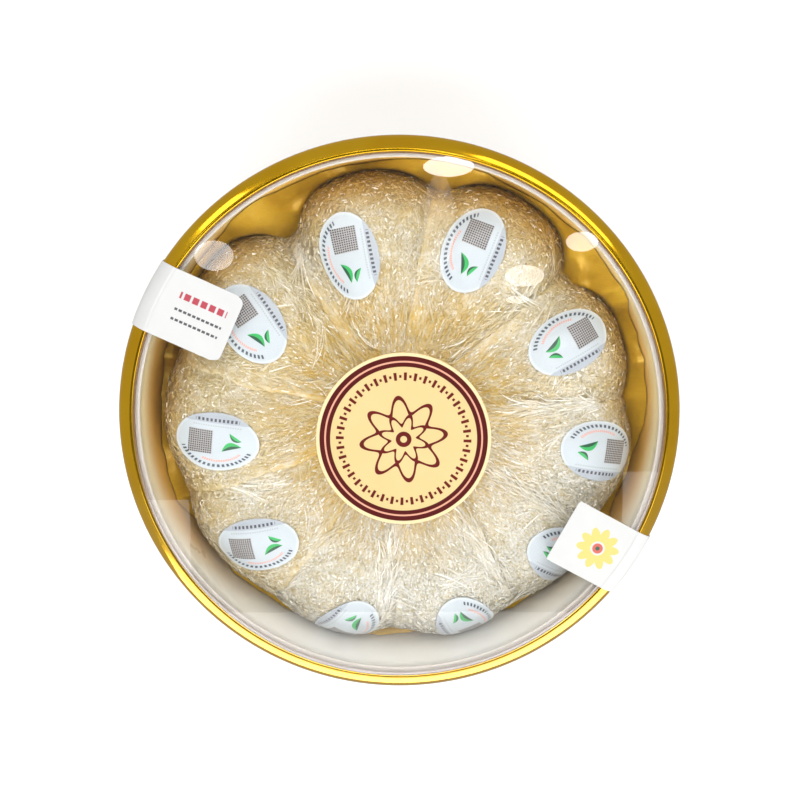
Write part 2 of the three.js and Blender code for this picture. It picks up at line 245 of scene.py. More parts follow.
class Graph:
    """A material's node tree, with its Principled shader."""

    def __init__(self, name):
        self.material = bpy.data.materials.new(name)
        self.material.use_nodes = True
        self.tree = self.material.node_tree
        self.nodes = self.tree.nodes
        self.shader = self.nodes["Principled BSDF"]

    def put(self, slot, value):
        """Feeds a socket from a field, or sets it to a value or a hexadecimal colour."""
        if isinstance(value, Field):
            self.tree.links.new(value.socket, slot)
        elif value is not None:
            slot.default_value = colour(value) if isinstance(value, str) else value

    def set(self, **values):
        """Sets the shader's sockets: base_color is its Base Color, and so on."""
        names = {slot.name.lower().replace(" ", "_"): slot for slot in self.shader.inputs}
        for name, value in values.items():
            self.put(names[name], value)
        return self.material

    def place(self):
        """Where a point lies in the frame, in metres."""
        return Field(self, self.nodes.new("ShaderNodeTexCoord").outputs["Object"])

    def split(self, vector):
        node = self.nodes.new("ShaderNodeSeparateXYZ")
        self.put(node.inputs[0], vector)
        return [Field(self, socket) for socket in node.outputs]

    def join(self, *parts):
        node = self.nodes.new("ShaderNodeCombineXYZ")
        for slot, value in zip(node.inputs, parts):
            self.put(slot, value)
        return Field(self, node.outputs[0])

    def sheet(self):
        """A sheet's own two coordinates, in millimetres."""
        node = self.nodes.new("ShaderNodeUVMap")
        node.uv_map = "sheet"
        x, y, _ = self.split(Field(self, node.outputs[0]))
        return x * (1 / MM), y * (1 / MM)

    def attribute(self, name):
        node = self.nodes.new("ShaderNodeAttribute")
        node.attribute_name = name
        return Field(self, node.outputs["Fac"])

    def noise(self, vector, size, detail=3):
        """Soft noise from 0 to 1, with lumps of about the given size."""
        node = self.nodes.new("ShaderNodeTexNoise")
        self.put(node.inputs["Vector"], vector)
        node.inputs["Scale"].default_value = 1 / size
        node.inputs["Detail"].default_value = detail
        node.inputs["Roughness"].default_value = NOISE_ROUGHNESS
        return Field(self, node.outputs["Fac"])

    def mix(self, share, first, second):
        """The first colour where share is 0 and the second where it is 1."""
        node = self.nodes.new("ShaderNodeMix")
        node.data_type = "RGBA"
        self.put(node.inputs["Factor"], share)
        slots = [slot for slot in node.inputs if slot.type == "RGBA"]
        self.put(slots[0], first)
        self.put(slots[1], second)
        return Field(self, next(out for out in node.outputs if out.type == "RGBA"))

    def painted(self, tone, *layers):
        """A colour with others laid over it in turn, each given as its share and its tone."""
        for share, over in layers:
            tone = self.mix(share, tone, over)
        return tone

    def bump(self, height, depth, strength=1, normal=None):
        """A bump of the given depth, for a height from 0 to 1."""
        node = self.nodes.new("ShaderNodeBump")
        node.inputs["Strength"].default_value = strength
        node.inputs["Distance"].default_value = depth
        self.put(node.inputs["Height"], height)
        self.put(node.inputs["Normal"], normal)
        return Field(self, node.outputs[0])


def colour(text):
    """A colour from its hexadecimal screen value."""
    parts = [int(text[i:i + 2], 16) / 255 for i in (0, 2, 4)]
    return (*[p / 12.92 if p <= 0.04045 else ((p + 0.055) / 1.055) ** 2.4 for p in parts], 1)


def gold_material():
    """Lacquered gold plate; the ledge inside the band is painted: dark brown shade towards +Y, pale
    towards -Y.
    """
    graph = Graph("gold_plate")
    place = graph.place()
    x, y, _ = graph.split(place)
    haze = graph.noise(place, 0.018, 3)
    wave = graph.noise(place, 0.03, 1)
    fine = graph.noise(place, 0.0009, 2)
    relief = graph.bump(fine, 0.00001, 0.3, graph.bump(wave, 0.0003, 0.3))
    plate = graph.mix(haze.over(0.5, 0.5), (0.84, 0.46, 0.004, 1), (0.9, 0.53, 0.012, 1))
    # Painted light and shade in place of gold on the ledge inside the band: dark brown painted shade
    # towards +Y, pale grey-beige painted light towards -Y
    seal = from_middle(x, y).under((RING_INNER + 0.1) * MM, 0.0002)
    tone = graph.mix(seal, plate, graph.mix(y.over(-0.03, 0.06), "BDB3B0", "6E4A14"))
    return graph.set(
        base_color=tone,
        metallic=1 - seal,
        roughness=haze * 0.1 + seal * 0.4 + 0.07,
        normal=relief,
        # Painted sheen: the coat is heavier towards -Y, which brightens the reflections on that side
        coat_weight=y.under(-0.04, 0.08) * 0.7 + 0.15,
        coat_ior=1.9,
        coat_roughness=0.04,
    )


def ivory_material():
    """Glossy ivory plastic, a little uneven."""
    graph = Graph("ivory_gloss")
    place = graph.place()
    cloud = graph.noise(place, 0.03, 4)
    grain = graph.noise(place, 0.0007, 2)
    tone = colour("EFE6DA")
    darker = (*[0.97 * part for part in tone[:3]], 1)
    return graph.set(
        base_color=graph.mix(cloud.over(0.5, 0.6), tone, darker),
        roughness=cloud * 0.12 + 0.22,
        normal=graph.bump(grain, 0.00002, 0.5),
        subsurface_weight=0.08,
        subsurface_radius=(1, 0.8, 0.6),
        subsurface_scale=0.002,
        coat_weight=0.25,
        coat_roughness=0.12,
    )


def tray_material():
    """Ivory plastic with painted gold reflections of the cloth, and a lip painted darker as shade."""
    graph = Graph("ivory_tray")
    place = graph.place()
    _, y, z = graph.split(place)
    cloud = graph.noise(place, 0.03, 4)
    grain = graph.noise(place, 0.0007, 2)
    tone = graph.painted(
        # Painted reflection of the gold cloth: yellower towards +Y
        graph.mix(y.over(-0.035, 0.1), "EFEBE2", "EEE0B4"),
        # Painted reflection and light: gold on the +Y wall just under the lip, where it lies in shade
        (y.over(0.07, 0.05) * z.under(0.046, 0.004), "EDBE50"),
        # Painted reflection of the gold cloth low on the wall, over the shade beside the nests
        (z.under(0.036, 0.02) * y.over(-0.055, 0.06) * 0.95, "E4AC42"),
        # Painted shade: the rolled lip is a darker grey-beige, which tones down its lit rounding
        (z.over(0.0472, 0.0008), "BDB6AE"),
        (cloud * 0.05, "C9B890"),
    )
    return graph.set(
        base_color=tone,
        roughness=cloud * 0.1 + 0.24,
        normal=graph.bump(grain, 0.00003, 0.5),
        subsurface_weight=0.3,
        subsurface_radius=(1, 0.85, 0.7),
        subsurface_scale=0.005,
        coat_weight=0.25,
        coat_roughness=0.12,
    )


def pane_material():
    """Clear plastic sheet, with a faint wave."""
    graph = Graph("clear_pane")
    smear = graph.noise(graph.place(), 0.05, 2)
    return graph.set(
        base_color=(1, 1, 1, 1),
        roughness=0,
        ior=1.49,
        transmission_weight=1,
        normal=graph.bump(smear, 0.0003, 0.06),
    )


SATIN_WARP = 0.5
SATIN_WEFT = 0.35


def satin_material():
    """Gold satin: two sets of threads, and slubs that run along one of them."""
    graph = Graph("gold_satin")
    x, y = graph.sheet()
    warp = (x * (2 * math.pi / SATIN_WARP)).math("SINE")
    weft = (y * (2 * math.pi / SATIN_WEFT)).math("SINE")
    slub = graph.noise(graph.join(x, y * 5, 0), 2.2, 3)
    return graph.set(
        base_color=graph.mix(slub, "C48F06", "D8B63A"),
        metallic=0.3,
        roughness=slub * 0.12 + 0.27,
        normal=graph.bump(warp * 0.3 + weft * 0.2 + slub, 0.00005, 0.5),
        anisotropic=0.5,
        sheen_weight=0.25,
        sheen_roughness=0.3,
        sheen_tint="FFE08A",
        specular_ior_level=0.7,
    )


def strand_material():
    """Dried matted strands: cream to tan, clear and glossy where they catch the light, with painted
    shade on the +Y outer ends and painted white sparkle.
    """
    graph = Graph("nest_strands")
    place = graph.place()
    x, y, _ = graph.split(place)
    out = from_middle(x, y)
    warm = graph.attribute("warm")
    tone = graph.attribute("tone")
    patch = graph.noise(place, 0.016, 4)
    streak = graph.noise(place, 0.0024, 3)
    blotch = graph.noise(place, 0.005, 3)
    crumb = graph.noise(place, 0.0009, 2)
    speck = graph.noise(place, 0.0012, 1).over(0.76, 0.02)
    speck = speck * graph.noise(place, 0.013, 1).over(0.56, 0.1)
    grain = graph.noise(place, 0.0006, 2)

    # The outer ends on the +Y side, which get painted shade with a gold tint, and rays that run in
    # towards the box's middle
    end = out.over(0.079, 0.022) * y.over(-0.01, 0.11)
    around = y.math("ARCTAN2", x)
    ray = graph.noise(graph.join(around * 0.045, out * 0.2, 0), 0.0013, 3)
    near = patch * 0.6 + ray.over(0.5, 0.2) * 0.7 * (1 - tone * 0.6)

    # The +Y outer ends lean to tan here as well, as painted shade
    share = (patch - 0.5) * 1.3 + (streak - 0.5) * 0.9 + warm + end * 0.9
    ivory = graph.mix(tone, "BBB69F", "D7D5CE")
    tan = graph.mix(tone, "B29962", "CFC4A0")
    body = graph.painted(
        graph.mix(share.over(0.5, 0.9), ivory, tan),
        (blotch.over(0.56, 0.2) * 0.35, "E6E2D6"),
        # Painted shade with a gold tint on the outer ends on the +Y side
        (end * 0.95, "AA822A"),
        (out.under(0.048, 0.036) * near, "BC962A"),
        (crumb.over(0.57, 0.12) * (1 - tone * 0.8) * 0.8, "B89F5C"),
        (speck * 0.75, "7A5A2A"),
        # Painted highlight: the palest strands are made near-white, as sparkle
        (tone.over(0.93, 0.06) * 0.65, "F4F0E4"),
    )
    return graph.set(
        base_color=body,
        roughness=(1 - tone) * 0.4 + streak * 0.2 + 0.06,
        normal=graph.bump(grain, 0.00015, 0.5),
        specular_ior_level=0.7,
        subsurface_weight=0.12,
        subsurface_radius=(1, 0.75, 0.4),
        subsurface_scale=0.003,
    )


def paper_bump(graph, x, y):
    """Fine fibres of coated paper, as a bump."""
    return graph.bump(graph.noise(graph.join(x, y, 0), 0.4, 3), 0.00003, 0.4)


LEAVES = [
    dict(place=(-5.2, 0.9), turn=0.35, length=7.6, bend=0.09),
    dict(place=(-6.6, -1.9), turn=-0.5, length=5.2, bend=-0.12),
]
LEAF_GIRTH = 0.17           # half of a leaf's width, as a share of its length


def curved_leaf(x, y, place, turn, length, bend):
    """A printed leaf that bends along its length: its whole shape and its darker half."""
    x, y = x - place[0], y - place[1]
    along = x * math.cos(turn) + y * math.sin(turn)
    across = y * math.cos(turn) - x * math.sin(turn) - along * along * bend
    narrowing = along * along * (4 / (length * length))
    whole = (abs(across) / (length * LEAF_GIRTH) + narrowing).under(1, 0.12)
    return whole, whole * across.over(0.12, 0.12)


def nest_label_material():
    """White paper with a plain print: a grid of dots, two leaves, dashes and a grey segment."""
    graph = Graph("nest_label_print")
    x, y = graph.sheet()
    reach = from_middle(x / (LABEL_LENGTH / 2), y / (LABEL_WIDTH / 2))
    angle = (y / LABEL_WIDTH).math("ARCTAN2", x / LABEL_LENGTH)

    square = abs(x - 5.9).under(4.4, 0.1) * abs(y - 0.3).under(4.4, 0.1)
    dots = (x / 0.8).dashes(0.66, 0.15) * (y / 0.8).dashes(0.66, 0.15)
    print_ = graph.painted(
        graph.mix(reach.over(0.94, 0.05), "B3BBC0", "BDC4C8"),
        (square, graph.mix(dots, "9C9A99", "353130")),
    )
    for leaf in LEAVES:
        whole, dark = curved_leaf(x, y, **leaf)
        print_ = graph.painted(print_, (whole, "28A050"), (dark, "12452C"))

    ticks = (x / 1.5).dashes(0.55, 0.1) * y.band(-8.0, 1.1, 0.1) * abs(x).under(8, 0.2)
    rule = (x / 0.9).dashes(0.6, 0.1) * y.band(-5.9, 0.5, 0.1) * abs(x).under(9, 0.2)
    rim = (angle * 7.5).dashes(0.55, 0.1) * reach.band(0.83, 0.1, 0.03)
    red = (angle * 12).dashes(0.6, 0.1) * reach.band(0.66, 0.07, 0.02)
    print_ = graph.painted(
        print_,
        (y.under(-6.9, 0.15) * 0.8, "9AA0A8"),
        (ticks, "43454C"),
        (rule * 0.6, "8E9195"),
        (rim * angle.band(math.pi / 2, 2.5, 0.05), "3F4853"),
        (red * 0.7 * angle.band(math.pi / 2 + 0.25, 1.5, 0.05), "E07848"),
    )
    return graph.set(
        base_color=print_,
        roughness=0.35,
        normal=paper_bump(graph, x, y),
        coat_weight=0.2,
        coat_roughness=0.2,
    )


ROUND_LABEL_STUDS = 40
ROSETTE_PETALS = 8


def round_label_material():
    """Cream paper with dark-red rings, a ring of small studs and a plain rosette."""
    graph = Graph("round_label_print")
    x, y = graph.sheet()
    reach = from_middle(x, y)
    angle = y.math("ARCTAN2", x)
    cloud = graph.noise(graph.join(x, y, 0), 16, 3)
    stud = (angle * (ROUND_LABEL_STUDS / (2 * math.pi))).math("FRACT")
    petal = (angle * (ROSETTE_PETALS / 2)).math("SINE")
    petal = petal * petal
    inked = [
        reach.band(22.6, 2.8, 0.2) * stud.band(0.5, 0.3, 0.06),
        reach.band(22.6, 1.0, 0.2) * abs(stud - 0.5).over(0.38, 0.06),
        (reach - petal * 5.6).band(9.4, 1.6, 0.2),
        (reach - (1 - petal) * 3.6).band(5.0, 1.4, 0.2),
        reach.band(2.0, 1.6, 0.2),
    ]
    ink = graph.mix(cloud, "4E0A08", "6C1810")
    print_ = graph.painted(
        graph.mix(cloud, "CFB57C", "D9C18C"),
        (reach.over(29.7, 0.2), "E6CDA0"),
        (reach.band(28.95, 1.75, 0.15), "4C0604"),
        (reach.band(27.8, 0.6, 0.1), "D99A82"),
        (reach.band(26.75, 1.5, 0.15), "4C0604"),
        *[(shape, ink) for shape in inked],
    )
    return graph.set(
        base_color=print_,
        roughness=0.42,
        normal=paper_bump(graph, x, y),
        specular_ior_level=0.2,
    )


# Dashed rules across the left seal: middle, width, period and tone
SEAL_RULES = [
    (-10.2, 2.4, 3.1, "A81E38"),
    (-5, 0.9, 1.7, "3A3A3E"),
    (-1.4, 0.9, 1.7, "3A3A3E"),
]
SEAL_ROSETTE = (84.5, -6.2)


def ruled(x, y):
    """The left seal's print: dashed rules, as shares and tones."""
    inside = x.under(88, 0.2) * x.over(70.5, 0.2)
    for middle, width, period, tone in SEAL_RULES:
        yield y.band(middle, width, 0.15) * (x / period).dashes(0.72, 0.08) * inside * 0.95, tone


def flowered(x, y):
    """The right seal's print: a flower of ten petals, as shares and tones."""
    x, y = x - SEAL_ROSETTE[0], y - SEAL_ROSETTE[1]
    reach = from_middle(x, y)
    petal = abs((y.math("ARCTAN2", x) * 5).math("SINE"))
    yield (reach - petal * 2.6).under(5.2, 0.2) * reach.over(2.6, 0.2) * 0.9, "D2C25E"
    yield reach.under(1.9, 0.2) * 0.9, "C4442E"
    yield reach.under(0.8, 0.15), "2F5A48"


def seal_material(name, marks):
    """White sticker paper with a plain print."""
    graph = Graph(name)
    x, y = graph.sheet()
    cloud = graph.noise(graph.join(x, y, 0), 9, 3)
    return graph.set(
        base_color=graph.painted(graph.mix(cloud, "C7C8C7", "D0D0CF"), *marks(x, y)),
        roughness=0.4,
        normal=paper_bump(graph, x, y),
        coat_weight=0.15,
        coat_roughness=0.3,
    )


def floor_material():
    graph = Graph("pale_floor")
    cloud = graph.noise(graph.place(), 0.2, 3)
    tone = graph.mix(cloud, (0.86, 0.86, 0.86, 1), (0.88, 0.88, 0.875, 1))
    return graph.set(base_color=tone, roughness=0.8)


# Mesh building

def piece(name, points, faces, material, slot, replaced, smooth, attributes=None, sheet=None):
    """A mesh piece from points in millimetres. It rides on the one body and stands for the nodes
    replaced. Edges that turn by more than smooth degrees stay sharp."""
    mesh = bpy.data.meshes.new(name)
    mesh.from_pydata([tuple(p) for p in np.asarray(points, float) * MM], [], faces)
    for key, values in (attributes or {}).items():
        values = np.asarray(values, np.float32)
        mesh.attributes.new(key, "FLOAT", "POINT").data.foreach_set("value", values)
    if sheet is not None:
        loops = np.zeros(len(mesh.loops), np.int32)
        mesh.loops.foreach_get("vertex_index", loops)
        flat = (np.asarray(sheet, np.float32) * MM)[loops].ravel()
        mesh.uv_layers.new(name="sheet").data.foreach_set("uv", flat)
    solid = bmesh.new()
    solid.from_mesh(mesh)
    bmesh.ops.recalc_face_normals(solid, faces=solid.faces)
    solid.to_mesh(mesh)
    solid.free()
    mesh.polygons.foreach_set("use_smooth", [True] * len(mesh.polygons))
    mesh.set_sharp_from_angle(angle=math.radians(smooth))
    mesh.materials.append(material)
    made = add(name, mesh)
    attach(made, "root")
    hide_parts(*replaced)
    return made


def spun(points, degrees):
    """Points turned about the z axis."""
    turn = math.radians(degrees)
    x = points[..., 0] * math.cos(turn) - points[..., 1] * math.sin(turn)
    y = points[..., 0] * math.sin(turn) + points[..., 1] * math.cos(turn)
    return np.stack([x, y, points[..., 2]], -1)


def unit(vectors):
    return vectors / np.maximum(np.linalg.norm(vectors, axis=-1, keepdims=True), 1e-9)


def eased(share):
    """A share from 0 to 1, with a soft start and end."""
    return share * share * (3 - 2 * share)


TURN_STEPS = 288


def arc(x, z, radius, start, end, steps):
    """Points of an arc in the section plane, between two angles in degrees."""
    angles = np.radians(np.linspace(start, end, steps + 1))
    return [(x + radius * math.cos(a), z + radius * math.sin(a)) for a in angles]


def turned(profile, steps=TURN_STEPS):
    """Points and faces of a profile of (radius, height) turned round the box's axis. A profile
    that starts and ends on the axis is closed there, and any other closes on itself."""
    points = []
    rows = []
    for radius, height in profile:
        count = steps if radius else 1
        rows.append([len(points) + i % count for i in range(steps)])
        angles = [2 * math.pi * i / steps for i in range(count)]
        points += [(radius * math.cos(a), radius * math.sin(a), height) for a in angles]
    if profile[0][0]:
        rows.append(rows[0])
    faces = []
    for lower, upper in zip(rows, rows[1:]):
        for i in range(steps):
            j = (i + 1) % steps
            face = (lower[i], lower[j], upper[j], upper[i])
            faces.append(tuple(dict.fromkeys(face)))
    return points, faces


def grid_faces(rows, columns, wrap=False):
    faces = []
    for low in range(0, (rows - 1) * columns, columns):
        high = low + columns
        for c in range(columns if wrap else columns - 1):
            d = (c + 1) % columns
            faces.append((low + c, low + d, high + d, high + c))
    return faces


# Smooth random values over space

def lattice(cells, seed):
    """A random number from -1 to 1 for each whole-number cell."""
    cells = cells.astype(np.int64)
    mixed = np.int64(seed * 2654435761)
    for axis, prime in enumerate((73856093, 19349663, 83492791)):
        mixed = mixed ^ (cells[..., axis] * prime)
    mixed = (mixed ^ (mixed >> 13)) * 1274126177
    mixed = mixed ^ (mixed >> 16)
    return (mixed & 0xFFFF) / 32767.5 - 1


def ripple(points, size, seed):
    """Smooth noise from -1 to 1 at points, with lumps of about the given size."""
    scaled = np.asarray(points, float) / size
    low = np.floor(scaled)
    share = eased(scaled - low)
    total = 0
    for step in np.ndindex(2, 2, 2):
        weight = np.prod(np.where(np.array(step) == 1, share, 1 - share), axis=-1)
        total = total + weight * lattice(low + np.array(step), seed)
    return total


# The nests' surface, in a nest's own frame: x outwards, y to its left, z up from its open side

def half_width(nest, out):
    return nest["width"] / 2 * np.sin(np.pi / 2 * np.clip(out / NEST_WIDEST, 0, 1))


def lump(nest, out, side):
    phase = nest["angle"]
    out_short, side_short, out_long, side_long = (2 * np.pi / length for length in LUMP_LENGTHS)
    short = np.sin(out * out_short + phase) * np.sin(side * side_short + 2 * phase)
    return NEST_LUMP * (short + 0.6 * np.sin(out * out_long + side * side_long - phase))


def outside(nest, points):
    """Below 0 inside a nest, 0 on its surface and above 0 outside it."""
    out = points[..., 0]
    up = np.maximum(points[..., 2], 0)
    side = points[..., 1] - NEST_LEAN * up
    beyond = out > NEST_CREST
    length = np.where(beyond, nest["reach"] - NEST_CREST, NEST_CREST - NEST_TIP)
    along = np.abs(out - NEST_CREST) / length
    across = np.abs(side) / np.maximum(0.2, half_width(nest, out))
    share = along ** np.where(beyond, OUTER_SQUARENESS, INNER_SQUARENESS) + across ** SIDE_SQUARENESS
    inwards = np.maximum(0, (NEST_CREST - out) / (NEST_CREST - NEST_TIP))
    crest = nest["height"] * (1 - (1 - NEST_INNER_HEIGHT) * inwards ** TIP_FALL)
    return share + (up / np.maximum(5, crest + lump(nest, out, side))) ** ROOF_SQUARENESS - 1


def depth(nest, points):
    """About how many millimetres a point lies outside a nest, below 0 inside it."""
    return NEST_GIRTH * ((outside(nest, points) + 1) ** (1 / ROOF_SQUARENESS) - 1)


def in_box(nest, points):
    """The points of a nest's own frame, in the box's."""
    return spun(points, nest["angle"]) + np.array([0, 0, NEST_FLOOR])


def beside(nest):
    """The two neighbours of a nest."""
    place = NESTS.index(nest)
    return [NESTS[(place + step) % len(NESTS)] for step in (-1, 1)]


def matted(nest, points):
    """How far a point lies outside the matted surface, which runs on softly from nest to nest, and
    how far it has gone over into each neighbour. A nest that lies over another has a raised edge."""
    own = depth(nest, points)
    start, end = SOFT_REACH
    softness = SOFTNESS * (0.5 + 0.5 * np.clip((points[..., 0] - start) / (end - start), 0, 1))
    total = np.exp(-softness * own)
    gone = []
    raised = 0
    for other in beside(nest):
        its = depth(other, spun(points, nest["angle"] - other["angle"]))
        total = total + np.exp(-softness * its)
        gone.append(own - its)
        if nest["rank"] > other["rank"]:
            raised = raised + EDGE_RISE * np.exp(-((own - its) / EDGE_SPREAD) ** 2)
    return -np.log(total) / softness - raised, gone


def gradient(nest, points):
    """Unit vectors out of the matted surface, and how fast the distance grows along them."""
    small = 0.05
    slopes = []
    for axis in range(3):
        step = np.zeros(3)
        step[axis] = small
        ahead, behind = matted(nest, points + step)[0], matted(nest, points - step)[0]
        slopes.append((ahead - behind) / (2 * small))
    slope = np.stack(slopes, -1)
    size = np.maximum(np.linalg.norm(slope, axis=-1, keepdims=True), 1e-9)
    return slope / size, size[..., 0]


def settled(nest, points, limit):
    """The points, moved to the matted surface by no more than a limit, and their unit normals."""
    normal, rate = gradient(nest, points)
    step = np.clip(matted(nest, points)[0] / rate, -limit, limit)
    return points - normal * step[..., None], normal


def onto(nest, points, rounds):
    for _ in range(rounds):
        points, _ = settled(nest, points, 3)
    return points


FARTHEST = 60.0
HALVINGS = 22


def own_reach(nest, way):
    """How far a nest reaches along ways from under its crest: to its surface, or a little way into
    a neighbour, which is further where the nest lies over it."""
    near = np.zeros(way.shape[:-1])
    far = np.full(way.shape[:-1], FARTHEST)
    for _ in range(HALVINGS):
        middle = (near + far) / 2
        distance, gone = matted(nest, UNDER_CREST + way * middle[..., None])
        for other, how_far in zip(beside(nest), gone):
            limit = OVERLAP if nest["rank"] > other["rank"] else 0
            distance = np.maximum(distance, how_far - limit)
        near = np.where(distance < 0, middle, near)
        far = np.where(distance < 0, far, middle)
    return near


def ways_up(tilt, turn):
    """Unit vectors at a tilt above level and a turn about the vertical."""
    level = np.cos(tilt)
    return np.stack([level * np.cos(turn), level * np.sin(turn), np.sin(tilt) + 0 * turn], -1)


NEST_ROUNDS = 180
NEST_ROWS = 54
HOLLOW_ROWS = 8


def closed_shell(index):
    """Points, faces and tones of a nest's body: the outer surface and the hollow under it."""
    nest = NESTS[index]
    turn = (2 * np.pi * np.arange(NEST_ROUNDS) / NEST_ROUNDS)[None, :]
    way = ways_up((np.pi / 2) * (1 - np.linspace(0.004, 1, NEST_ROWS))[:, None], turn)
    outer = UNDER_CREST + way * own_reach(nest, way)[..., None]
    normal, _ = gradient(nest, outer)
    seat = np.clip(outer[..., 2] / 3, 0, 1)[..., None]
    coarse = ripple(outer, 6, 3 + index) * 0.4 + ripple(outer, 2.4, 40 + index) * 0.16
    ropes = ripple(outer * np.array([0.28, 1, 0.8]), 1.4, 80 + index) * 0.14
    outer = outer + normal * ((coarse + ropes - 0.3)[..., None] * seat)
    way = ways_up(np.linspace(0, 1, HOLLOW_ROWS)[:, None] * (np.pi / 2 - 0.02), turn)
    reach = own_reach(nest, way)
    inner = UNDER_CREST + way * (np.maximum(reach - NEST_SHELL, reach * 0.5))[..., None]
    rows = np.concatenate([outer, inner])
    points = np.concatenate([rows.reshape(-1, 3), [rows[0].mean(0), rows[-1].mean(0)]])
    faces = grid_faces(len(rows), NEST_ROUNDS, wrap=True)
    top = len(rows) * NEST_ROUNDS
    last = top - NEST_ROUNDS
    for i in range(NEST_ROUNDS):
        j = (i + 1) % NEST_ROUNDS
        faces += [(top, j, i), (top + 1, last + i, last + j)]
    return points, faces, 0.4 + 0.2 * ripple(points, 1.8, 120 + index)


# Strands and flakes that are tried on a nest, its bundles, and the strands of each fringe
STRANDS = 2700
FLAKES = 5200
BUNDLES = 5
FRINGE = 220

STRAND_STEPS = 5
BUNDLE_STEPS = 14
FRINGE_STEPS = 8


def strand_starts(nest, count):
    """Random points over a nest's own part of the matted surface."""
    tilt = np.arcsin(random.random(count * 2) ** 0.8)
    turn = random.random(count * 2) * 2 * np.pi
    way = ways_up(tilt, turn)
    spots = UNDER_CREST + way * own_reach(nest, way)[..., None]
    distance, gone = matted(nest, spots)
    spots = spots[(np.maximum(*gone) < 1.0) & (spots[:, 2] > 4) & (distance > -1.5)]
    return spots[:count]


def walk(nest, spots, heading, steps, wander, stride):
    """Paths over the matted surface: points and unit normals at each step."""
    path = []
    normals = []
    swing = wander[:, None]
    for _ in range(steps):
        spots, normal = settled(nest, spots, 2)
        path.append(spots)
        normals.append(normal)
        heading = unit(heading - normal * (heading * normal).sum(-1, keepdims=True))
        heading = heading * np.cos(swing) + np.cross(normal, heading) * np.sin(swing)
        spots = spots + heading * stride
    return np.stack(path, 1), np.stack(normals, 1)


def sound_paths(nest, *how):
    """Only those walks that stay on the nest and above its open side."""
    path, normals = walk(nest, *how)
    good = (np.abs(matted(nest, path)[0]) < 1).all(1) & (path[..., 2] > 1.5).all(1)
    return path[good], normals[good]


def ribbons(path, normals, width, height, roll, tones):
    """Points, faces and tones of flat strands along paths, each rolled a little to one side."""
    count, steps, _ = path.shape
    across = np.cross(normals, unit(np.gradient(path, axis=1)))
    across = across * np.cos(roll)[:, None, None] + normals * np.sin(roll)[:, None, None]
    share = np.linspace(0, 1, steps)
    taper = np.clip(np.minimum(share, 1 - share) * 5, 0.15, 1) if steps > 2 else (1, 0.6)
    half = across * (width[:, None] * np.array(taper) / 2)[..., None]
    raised = path + normals * height[..., None]
    points = np.stack([raised + half, raised - half], 2).reshape(-1, 3)
    starts = ((np.arange(count)[:, None] * steps + np.arange(steps - 1)) * 2).ravel()
    faces = np.stack([starts, starts + 1, starts + 3, starts + 2], -1)
    return points, faces, np.repeat(tones, steps * 2)


def weave(count, steps, high, low):
    """Heights along strands that rise and dive between each other."""
    share = np.linspace(0, 1, steps)[None, :]
    wave = np.sin(share * random.uniform(3, 12, (count, 1)) + random.uniform(0, 6.3, (count, 1)))
    ends = 1 - np.clip(np.minimum(share, 1 - share) * 4, 0, 1)
    return low + (high - low) * (wave * 0.5 + 0.5) - 0.4 * ends


def toned(count, middle, spread=0.12):
    """Random tones from 0, which is dark, to 1."""
    return np.clip(middle + spread * random.normal(0, 1, count), 0, 1)


def inward(spots, turn):
    """Headings towards the box's middle, turned by some angles."""
    aim = np.arctan2(-spots[:, 1], -(spots[:, 0] - 4)) + turn
    return np.stack([np.cos(aim), np.sin(aim), np.zeros(len(spots))], -1)


def fanned(spots, least, more):
    """Headings towards the box's middle, which spread by more degrees at the outer end."""
    spread = np.radians(least + more * np.clip((spots[:, 0] - 45) / 40, 0, 1))
    return inward(spots, random.normal(0, 1, len(spots)) * spread)


def short_strands(nest):
    spots = strand_starts(nest, STRANDS)
    heading = fanned(spots, 12, 55)
    wander = random.normal(0, 0.1, len(spots))
    path, normals = sound_paths(nest, spots, heading, STRAND_STEPS, wander, 1.2)
    count = len(path)
    height = weave(count, STRAND_STEPS, 0.26, -0.14)
    roll = random.normal(0, 0.3, count)
    tones = toned(count, 0.42, 0.22)
    return ribbons(path, normals, random.uniform(0.2, 0.45, count), height, roll, tones)


def flakes(nest):
    """Flat scraps, some of which catch the light; the palest are painted near-white as sparkle by their
    material.
    """
    spots = strand_starts(nest, FLAKES)
    heading = fanned(spots, 20, 60)
    stride = random.uniform(0.7, 1.7, (len(spots), 1))
    path, normals = sound_paths(nest, spots, heading, 2, np.zeros(len(spots)), stride)
    count = len(path)
    height = random.uniform(0.05, 0.34, (count, 1)) + random.normal(0, 0.1, (count, 2))
    roll = random.normal(0, 0.4, count)
    tones = random.random(count) ** 0.6
    return ribbons(path, normals, random.uniform(0.3, 0.65, count), height, roll, tones)


def bundle(nest):
    """Pale strands side by side, which sweep over the nest together."""
    strands = int(random.integers(6, 13))
    seat = strand_starts(nest, 8)[0]
    heading = inward(seat[None], np.array([random.normal(0, 0.55)]))[0]
    gap = np.array([-heading[1], heading[0], 0])
    offsets = np.linspace(-0.5, 0.5, strands)[:, None] * strands * 0.5
    starts = seat + gap * offsets + random.normal(0, 0.2, (strands, 3))
    heading = heading + random.normal(0, 0.05, (strands, 3))
    bend = random.uniform(-0.05, 0.05) + random.normal(0, 0.03, strands)
    path, normals = sound_paths(nest, onto(nest, starts, 2), heading, BUNDLE_STEPS, bend, 1.7)
    count = len(path)
    roll = random.normal(0, 0.3, count)
    tones = toned(count, 0.8)
    height = weave(count, BUNDLE_STEPS, 0.5, 0.05)
    return ribbons(path, normals, random.uniform(0.3, 0.5, count), height, roll, tones)


